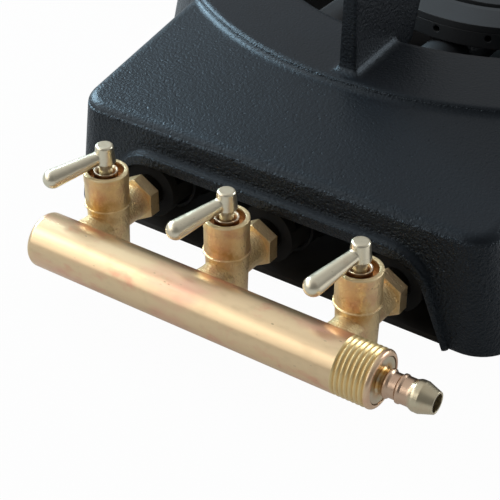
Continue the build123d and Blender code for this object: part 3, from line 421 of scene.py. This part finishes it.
def makePipeBrass():
    look = pipeLook
    material, tree, surface, place = startMaterial("pipeBrass")
    tone = brassClouds(tree, stretched(tree, place, look["cloudStretch"]), look, "gold", "copper")
    parts = split(tree, place)
    fromY, radius = aroundPipe(tree, parts)
    # heat tint on the side of the joints
    half = look["pitch"] / 2
    across = calc(tree, "WRAP", parts["X"], half, -half)
    aside = calc(tree, "ABSOLUTE", calc(tree, "SUBTRACT", across, look["heatShift"]))
    near = fade(tree, aside, *look["heatReach"])
    behind = fade(tree, fromY, *look["heatBehind"])
    cloud = fade(tree, noise(tree, place, look["heatCloud"]), *look["heatRange"])
    heat = times(tree, near, behind, cloud, look["heatShare"])
    colour = blend(tree, heat, tone["Color"], look["heat"])
    # reddish blotches
    drawnOut = stretched(tree, place, look["blushStretch"])
    blotches = noise(tree, drawnOut, look["blushSize"], 4.0, 0.65)
    blotches = fade(tree, blotches, *look["blushRange"])
    colour = blend(tree, times(tree, blotches, look["blushShare"]), colour, look["blush"])
    # thread, with painted shade in its grooves, and mouth
    start, end, soft = look["threadStart"], look["threadEnd"], look["threadFade"]
    late = fade(tree, parts["X"], start, start + soft)
    early = fade(tree, parts["X"], end, end - soft)
    threaded = times(tree, late, early)
    inGrooveShade = fade(tree, radius, *look["grooveRange"])
    colour = blend(tree, threaded, colour, blend(tree, inGrooveShade, look["thread"], look["groove"]))
    atMouth = fade(tree, parts["X"], end, end + soft)
    colour = blend(tree, times(tree, atMouth, look["mouthShare"]), colour, look["mouth"])
    lines = noise(tree, stretched(tree, place, look["lineStretch"]), 1.0, 2.0)
    rough = ramp(tree, lines, *look["rough"])
    height = calc(tree, "SUBTRACT", times(tree, lines, look["lineHeight"]), tone["Specks"])
    sockets = {
        "Base Color": colour,
        "Metallic": ramp(tree, threaded, *look["metal"]),
        "Roughness": ramp(tree, tone["Specks"], rough, look["speckRough"]),
        "Normal": softBump(tree, height, look),
    }
    fillSockets(tree, surface, sockets)
    return material


# hose nozzle: pale barb, reddish neck, orange stain round the neck's foot
nozzleLook = {
    "pale": (0.66, 0.58, 0.41, 1),
    "neck": (0.66, 0.42, 0.30, 1),
    "copperShare": 0.35,
    "cloudSize": 120.0,
    "specks": 0.25,
    "neckStart": (0.07805, 0.07925),
    "neckEnd": (0.0898, 0.0874),
    "neckShare": 0.7,
    "stain": (0.56, 0.31, 0.09, 1),
    "stainSize": 260.0,
    "stainRange": (0.3, 0.62),
    "stainRing": (0.0072, 0.0050),
    "faceRange": (0.08055, 0.07805),
    "dark": (0.10, 0.055, 0.03, 1),
    "jointRing": (0.0081, 0.0084),
    "lineStretch": (1500, 60, 60),
    "rough": (0.24, 0.14),
    "metal": 1.0,
    "bump": 0.15,
    "depth": 0.0001,
    "edgeSoft": 0.0003,
}


def makeNozzleBrass():
    look = nozzleLook
    material, tree, surface, place = startMaterial("nozzleBrass")
    tone = brassClouds(tree, place, look, "pale", "neck")
    parts = split(tree, place)
    radius = aroundPipe(tree, parts)[1]
    beyond = fade(tree, parts["X"], *look["neckStart"])
    before = fade(tree, parts["X"], *look["neckEnd"])
    onNeck = times(tree, beyond, before, look["neckShare"])
    colour = blend(tree, onNeck, tone["Color"], look["neck"])
    onFace = fade(tree, parts["X"], *look["faceRange"])
    patchy = fade(tree, noise(tree, place, look["stainSize"]), *look["stainRange"])
    stained = times(tree, fade(tree, radius, *look["stainRing"]), patchy)
    colour = blend(tree, times(tree, onFace, stained), colour, look["stain"])
    # dirt in the joint between disc and pipe
    atJoint = fade(tree, radius, *look["jointRing"])
    colour = blend(tree, times(tree, onFace, atJoint), colour, look["dark"])
    turned = noise(tree, stretched(tree, place, look["lineStretch"]), 1.0, 2.0)
    sockets = {
        "Base Color": colour,
        "Metallic": look["metal"],
        "Roughness": ramp(tree, turned, *look["rough"]),
        "Normal": softBump(tree, turned, look),
    }
    fillSockets(tree, surface, sockets)
    return material


# valve bodies: turned cup, rough-cast necks, reddish hex, painted shade in the recess round the
# plug and behind the hex
valveLook = {
    "cup": (0.95, 0.70, 0.36, 1),
    "cupShare": 0.85,
    "cupRange": (0.026, 0.0265),
    "cupClouds": (0.4, 0.7),
    "slimRange": (0.0095, 0.0090),
    "cast": (0.91, 0.70, 0.38, 1),
    "copper": (0.80, 0.48, 0.27, 1),
    "copperShare": 0.6,
    "cloudSize": 130.0,
    "specks": 0.7,
    "stain": (0.60, 0.34, 0.08, 1),
    "stainShare": 0.8,
    "stainLevel": 0.0272,
    "stainReach": (0.0075, 0.001),
    "stainFront": (0.001, -0.006),
    "stainSize": 150.0,
    "stainRange": (0.38, 0.60),
    # painted highlight on the cup-foot ridge and the rim
    "highlightTone": (0.94, 0.75, 0.44, 1),
    "rimShare": 0.8,
    "rimRange": (0.0397, 0.0402),
    "ridgeShare": 0.4,
    "ridgeLevel": 0.0266,
    "ridgeReach": (0.0009, 0.0004),
    "ridgeRange": (0.00835, 0.00855),
    # painted shade in the recess round the plug
    "recess": (0.34, 0.14, 0.03, 1),
    "recessRing": (0.00705, 0.00675),
    "recessRange": (0.0403, 0.0393),
    "hex": (0.88, 0.64, 0.37, 1),
    "hexShare": 0.6,
    "hexRange": (0.0152, 0.0158),
    # painted shade on the valve body behind the hex flange
    "underShade": (0.02, 0.016, 0.012, 1),
    "underShadeRange": (0.0204, 0.0208),
    "metal": 0.62,
    "rough": (0.32, -0.04),
    "cloudRough": 0.12,
    "grain": 1150.0,
    "swell": 280.0,
    "machinedGrain": -0.4,
    "bump": 0.95,
    "depth": 0.0005,
    "edgeSoft": 0.0004,
}


def makeValveBrass():
    look = valveLook
    material, tree, surface, place = startMaterial("valveBrass")
    spot = useGroup(tree, valvePlace, {"Vector": place})
    radius, outlet, height = spot["Radius"], spot["Outlet"], spot["Height"]
    tone = brassClouds(tree, place, look, "cast", "copper")
    skin = castSkin(tree, place, look)
    # turned cup above the ridge
    upper = fade(tree, height, *look["cupRange"])
    slim = fade(tree, radius, *look["slimRange"])
    turned = times(tree, upper, slim)
    cloudy = fade(tree, tone["Cloud"], *look["cupClouds"])
    cupTone = blend(tree, cloudy, look["cup"], look["copper"])
    cupTone = blend(tree, tone["Specks"], cupTone, toneForm["speckTone"])
    colour = blend(tree, times(tree, turned, look["cupShare"]), tone["Color"], cupTone)
    # amber stain on the front, round the ridge
    around = calc(tree, "ABSOLUTE", calc(tree, "SUBTRACT", height, look["stainLevel"]))
    front = times(
        tree,
        fade(tree, around, *look["stainReach"]),
        fade(tree, outlet, *look["stainFront"]),
    )
    blotch = fade(tree, noise(tree, place, look["stainSize"], 4.0, 0.7), *look["stainRange"])
    amber = times(tree, front, blotch, slim, look["stainShare"])
    colour = blend(tree, amber, colour, look["stain"])
    # painted highlights: the ridge and rim made lighter where they catch the light
    level = calc(tree, "ABSOLUTE", calc(tree, "SUBTRACT", height, look["ridgeLevel"]))
    proud = times(tree, fade(tree, radius, *look["ridgeRange"]), slim)
    ridgeHighlight = times(tree, fade(tree, level, *look["ridgeReach"]), proud, look["ridgeShare"])
    colour = blend(tree, ridgeHighlight, colour, look["highlightTone"])
    rimHighlight = times(tree, fade(tree, height, *look["rimRange"]), look["rimShare"])
    colour = blend(tree, rimHighlight, colour, look["highlightTone"])
    # painted shade in the recess round the plug
    inside = fade(tree, radius, *look["recessRing"])
    below = fade(tree, height, *look["recessRange"])
    colour = blend(tree, times(tree, inside, below, upper), colour, look["recess"])
    # hex flange, with painted shade behind it where the outlet runs in under the leg
    onHex = fade(tree, outlet, *look["hexRange"])
    colour = blend(tree, times(tree, onHex, look["hexShare"]), colour, look["hex"])
    colour = blend(tree, fade(tree, outlet, *look["underShadeRange"]), colour, look["underShade"])
    machined = calc(tree, "MAXIMUM", turned, onHex)
    rough = ramp(tree, machined, *look["rough"])
    grain = times(tree, skin["Height"], ramp(tree, machined, 1.0, look["machinedGrain"]))
    sockets = {
        "Base Color": colour,
        "Metallic": look["metal"],
        "Roughness": ramp(tree, skin["Cloud"], rough, look["cloudRough"]),
        "Normal": softBump(tree, grain, look),
    }
    fillSockets(tree, surface, sockets)
    return material


# retaining rings, jets and nuts: small turned brass
smallLook = {
    "gold": (0.86, 0.66, 0.38, 1),
    "copper": (0.62, 0.36, 0.2, 1),
    "copperShare": 0.5,
    "cloudSize": 160.0,
    "specks": 0.3,
    "lineStretch": (60, 60, 1600),
    "rough": (0.25, 0.15),
    "metal": 1.0,
    "bump": 0.12,
    "depth": 0.0001,
    "edgeSoft": 0.00025,
}


def makeSmallBrass():
    look = smallLook
    material, tree, surface, place = startMaterial("smallBrass")
    tone = brassClouds(tree, place, look, "gold", "copper")
    turned = noise(tree, stretched(tree, place, look["lineStretch"]), 1.0, 2.0)
    sockets = {
        "Base Color": tone["Color"],
        "Metallic": look["metal"],
        "Roughness": ramp(tree, turned, *look["rough"]),
        "Normal": softBump(tree, turned, look),
    }
    fillSockets(tree, surface, sockets)
    return material


# plugs: pale ring on top, dark brown painted shade in the socket and below the rim
plugLook = {
    "pale": (0.86, 0.72, 0.55, 1),
    "copper": (0.62, 0.36, 0.2, 1),
    "copperShare": 0.4,
    "cloudSize": 200.0,
    "specks": 0.3,
    # painted shade on the plug inside the cup, below the rim
    "deep": (0.3, 0.15, 0.05, 1),
    "plugShadeShare": 0.85,
    "plugShadeRange": (0.0402, 0.0393),
    "rough": (0.22, 0.2),
    "metal": 1.0,
    "bump": -0.3,
    "depth": 0.0001,
    "edgeSoft": 0.0002,
}


def makePlugBrass():
    look = plugLook
    material, tree, surface, place = startMaterial("plugBrass")
    tone = brassClouds(tree, place, look, "pale", "copper")
    spot = useGroup(tree, valvePlace, {"Vector": place})
    # painted shade below the rim
    low = times(tree, fade(tree, spot["Height"], *look["plugShadeRange"]), look["plugShadeShare"])
    sockets = {
        "Base Color": blend(tree, low, tone["Color"], look["deep"]),
        "Metallic": look["metal"],
        "Roughness": ramp(tree, tone["Cloud"], *look["rough"]),
        "Normal": softBump(tree, tone["Specks"], look),
    }
    fillSockets(tree, surface, sockets)
    return material


# levers: pale satin nickel, soft dents, warm where the plate is thin
leverLook = {
    "pale": (0.83, 0.76, 0.585, 1),
    "warm": (0.72, 0.575, 0.415, 1),
    "warmSize": 150.0,
    "warmRange": (0.5, 0.8),
    "mark": (0.36, 0.30, 0.21, 1),
    "markSize": 500.0,
    "markStretch": (1, 1, 2.2),
    "markRange": (0.62, 0.76),
    "markShare": 0.5,
    "dentSize": 260.0,
    "rough": (0.23, 0.16),
    "metal": 0.94,
    "bump": 0.5,
    "depth": 0.0003,
    "edgeSoft": 0.0004,
}


def makeLeverNickel():
    look = leverLook
    material, tree, surface, place = startMaterial("leverNickel")
    clouds = noise(tree, place, look["warmSize"], 4.0, 0.6)
    marks = noise(tree, stretched(tree, place, look["markStretch"]), look["markSize"])
    marks = times(tree, fade(tree, marks, *look["markRange"]), look["markShare"])
    colour = blend(tree, fade(tree, clouds, *look["warmRange"]), look["pale"], look["warm"])
    dents = noise(tree, place, look["dentSize"], 2.0)
    sockets = {
        "Base Color": blend(tree, marks, colour, look["mark"]),
        "Metallic": look["metal"],
        "Roughness": ramp(tree, clouds, *look["rough"]),
        "Normal": softBump(tree, dents, look),
    }
    fillSockets(tree, surface, sockets)
    return material


# heat-dulled steel, steel darkened as painted shade, zinc, spring wire, and black sheet whose black
# is painted shade under the stove
plainMetals = {
    "rolledSteel": {
        "light": (0.17, 0.165, 0.16, 1),
        "dark": (0.085, 0.08, 0.075, 1),
        "rough": 0.5,
        "metal": 1.0,
        "specular": 0.5,
    },
    # painted shade: steel of the parts under the leg darkened nearly black
    "shadeDarkSteel": {
        "light": (0.05, 0.05, 0.051, 1),
        "dark": (0.026, 0.026, 0.026, 1),
        "rough": 0.6,
        "metal": 1.0,
        "specular": 0.5,
    },
    "zincPlate": {
        "light": (0.66, 0.66, 0.64, 1),
        "dark": (0.45, 0.44, 0.4, 1),
        "rough": 0.36,
        "metal": 1.0,
        "specular": 0.5,
    },
    "springWire": {
        "light": (0.45, 0.42, 0.38, 1),
        "dark": (0.2, 0.15, 0.1, 1),
        "rough": 0.3,
        "metal": 1.0,
        "specular": 0.5,
    },
    # painted shade: the base plate's black stands in for the shade under the stove
    "shadeBlackSheet": {
        "light": (0.054, 0.054, 0.055, 1),
        "dark": (0.042, 0.042, 0.042, 1),
        "rough": 0.8,
        "metal": 0.0,
        "specular": 0.1,
    },
}
rollingMarks = {
    "cloudSize": 70.0,
    "cloudRange": (0.35, 0.7),
    "grainStretch": (900, 60, 900),
    "grainRough": 0.15,
    "bump": 0.12,
    "depth": 0.0001,
    "edgeSoft": 0.0004,
}


def makePlainMetal(name):
    look, marks = plainMetals[name], rollingMarks
    material, tree, surface, place = startMaterial(name)
    clouds = noise(tree, place, marks["cloudSize"], 4.0, 0.6)
    clouds = fade(tree, clouds, *marks["cloudRange"])
    grain = noise(tree, stretched(tree, place, marks["grainStretch"]), 1.0, 2.0)
    sockets = {
        "Base Color": blend(tree, clouds, look["light"], look["dark"]),
        "Metallic": look["metal"],
        "Roughness": ramp(tree, grain, look["rough"], marks["grainRough"]),
        "Specular IOR Level": look["specular"],
        "Normal": softBump(tree, grain, marks),
    }
    fillSockets(tree, surface, sockets)
    return material


dress(["stove_casting"], makeIronCoat())
burnerNodes = ["outer_ring_burner", "middle_ring_burner", "centre_burner"]
burnerNodes += ["outer_ring_cap", "middle_ring_cap", "centre_burner_cap"]
dress(burnerNodes, makeBurnerIron())
dress(["manifold_pipe", "pipe_end_plug"], makePipeBrass())
dress(["hose_nozzle"], makeNozzleBrass())
dress(onSides("valve_body"), makeValveBrass())
dress(onSides("valve_plug"), makePlugBrass())
dress(onSides("retaining_ring", "gas_jet", "lock_nut"), makeSmallBrass())
dress(onSides("valve_lever"), makeLeverNickel())
dress(["burner_rest"], makePlainMetal("rolledSteel"))
# the hanger bar, clips and shutters under the leg get steel darkened as painted shade
dress(["tube_hanger_bar"] + onSides("tube_clip", "air_shutter"), makePlainMetal("shadeDarkSteel"))
fasteners = ["rest_bolts", "burner_bolts", "hanger_bolts", "clip_bolts", "clip_nuts", "base_screws"]
dress(fasteners, makePlainMetal("zincPlate"))
dress(onSides("valve_spring"), makePlainMetal("springWire"))
# the base plate's black is painted shade under the stove
dress(["base_plate"], makePlainMetal("shadeBlackSheet"))
print("materials dressed")

# soft boxes: two in front on the left, one behind on the right, a small cool one low on the left
lampSetup = {
    "leftBox": {
        "from": (-0.75, -1.15, 0.62),
        "size": 0.95,
        "power": 3.4,
        "tint": (1, 0.98, 0.95),
    },
    "sideBox": {
        "from": (-0.98, -0.60, 0.72),
        "size": 0.7,
        "power": 3.4,
        "tint": (1, 0.98, 0.95),
    },
    "rightBox": {
        "from": (0.78, 0.90, 0.50),
        "size": 0.6,
        "power": 6.5,
        "tint": (0.9, 0.96, 1),
    },
    "coolBox": {
        "from": (-0.88, 0.03, 0.50),
        "size": 0.4,
        "power": 10.0,
        "tint": (0.62, 0.86, 1),
    },
}
aim = Vector((0, -0.16, 0.03))
for lampName, lamp in lampSetup.items():
    lampData = bpy.data.lights.new(lampName, "AREA")
    lampData.energy = lamp["power"]
    lampData.size = lamp["size"]
    lampData.color = lamp["tint"]
    lampObject = bpy.data.objects.new(lampName, lampData)
    lampObject.location = lamp["from"]
    lampObject.rotation_euler = (aim - Vector(lamp["from"])).to_track_quat("-Z", "Y").to_euler()
    scene.collection.objects.link(lampObject)

# room and floor: lighter above and on the left, dark in front, white to look at, with a painted
# pool of light on the floor to the right that shows in reflections
studio = {
    "above": 0.74,
    "sides": 0.20,
    "aboveRange": (0.25, 0.9),
    "rightShare": 0.5,
    "leftRange": (0.1, -0.6),
    "darkSide": (0.46, -0.68, 0.57),
    "darkRange": (0.72, 0.97),
    "darkShare": 0.8,
    "roomMirror": 0.14,
    "floorMirror": 0.3,
    # painted pool of light: the floor to the right glows brighter in reflections
    "lightPoolMirror": 0.9,
    "lightPoolX": (0.10, 0.20),
    "lightPoolY": (-0.26, -0.16),
    "floorGrey": 0.42,
    "floorWhite": 0.975,
    "floorHalf": 6.0,
    "floorGap": 0.0004,
}
white = (1, 1, 1, 1)


# white for the camera and through glass, a share of it in polished metal
def whiteShare(tree, shown, mirror):
    path = putNode(tree, "ShaderNodeLightPath").outputs
    seen = times(tree, path["Is Camera Ray"], shown)
    mirrored = times(tree, path["Is Glossy Ray"], mirror)
    through = times(tree, path["Is Transmission Ray"], shown)
    return calc(tree, "MAXIMUM", calc(tree, "MAXIMUM", seen, mirrored), through)


def mixShaders(tree, share, first, second):
    sockets = {0: share, 1: first.outputs[0], 2: second.outputs[0]}
    return putNode(tree, "ShaderNodeMixShader", sockets).outputs[0]


world = bpy.data.worlds.new("studioRoom")
scene.world = world
world.use_nodes = True
room = world.node_tree
room.nodes.clear()
looking = putNode(room, "ShaderNodeTexCoord").outputs["Generated"]
roomParts = split(room, looking)
rising = fade(room, roomParts["Z"], *studio["aboveRange"])
bright = ramp(room, rising, studio["sides"], studio["above"] - studio["sides"])
leftward = fade(room, roomParts["X"], *studio["leftRange"])
leftward = ramp(room, leftward, studio["rightShare"], 1.0 - studio["rightShare"])
towards = putNode(
    room,
    "ShaderNodeVectorMath",
    {0: looking, 1: studio["darkSide"]},
    operation="DOT_PRODUCT",
)
dim = fade(room, towards.outputs["Value"], *studio["darkRange"])
bright = times(room, bright, leftward, ramp(room, dim, 1.0, -studio["darkShare"]))
roomLight = putNode(room, "ShaderNodeBackground", {"Color": white, "Strength": bright})
roomWhite = putNode(room, "ShaderNodeBackground", {"Color": white, "Strength": 1.0})
roomShare = whiteShare(room, 1.0, studio["roomMirror"])
roomMix = mixShaders(room, roomShare, roomLight, roomWhite)
putNode(room, "ShaderNodeOutputWorld", {"Surface": roomMix})

floorShape = bmesh.new()
bmesh.ops.create_grid(floorShape, x_segments=1, y_segments=1, size=studio["floorHalf"])
bmesh.ops.translate(floorShape, verts=floorShape.verts, vec=(0, 0, -studio["floorGap"]))
floorMesh = bpy.data.meshes.new("studioFloor")
floorShape.to_mesh(floorMesh)
floorShape.free()
floorObject = bpy.data.objects.new("studioFloor", floorMesh)
scene.collection.objects.link(floorObject)
floorMaterial = bpy.data.materials.new("paleFloor")
floorMaterial.use_nodes = True
floorTree = floorMaterial.node_tree
floorTree.nodes.clear()
floorTone = (studio["floorGrey"], studio["floorGrey"], studio["floorGrey"], 1)
floorPaint = putNode(floorTree, "ShaderNodeBsdfDiffuse", {"Color": floorTone})
floorGlow = putNode(floorTree, "ShaderNodeEmission", {"Color": white, "Strength": 1.0})
floorParts = split(floorTree, putNode(floorTree, "ShaderNodeTexCoord").outputs["Object"])
# painted pool of light on the floor to the right, seen in reflections
lightPool = times(
    floorTree,
    fade(floorTree, floorParts["X"], *studio["lightPoolX"]),
    fade(floorTree, floorParts["Y"], *studio["lightPoolY"]),
)
lightPoolExtra = studio["lightPoolMirror"] - studio["floorMirror"]
floorMirror = ramp(floorTree, lightPool, studio["floorMirror"], lightPoolExtra)
floorShare = whiteShare(floorTree, studio["floorWhite"], floorMirror)
floorMix = mixShaders(floorTree, floorShare, floorPaint, floorGlow)
putNode(floorTree, "ShaderNodeOutputMaterial", {"Surface": floorMix})
floorMesh.materials.append(floorMaterial)
print("studio lit")
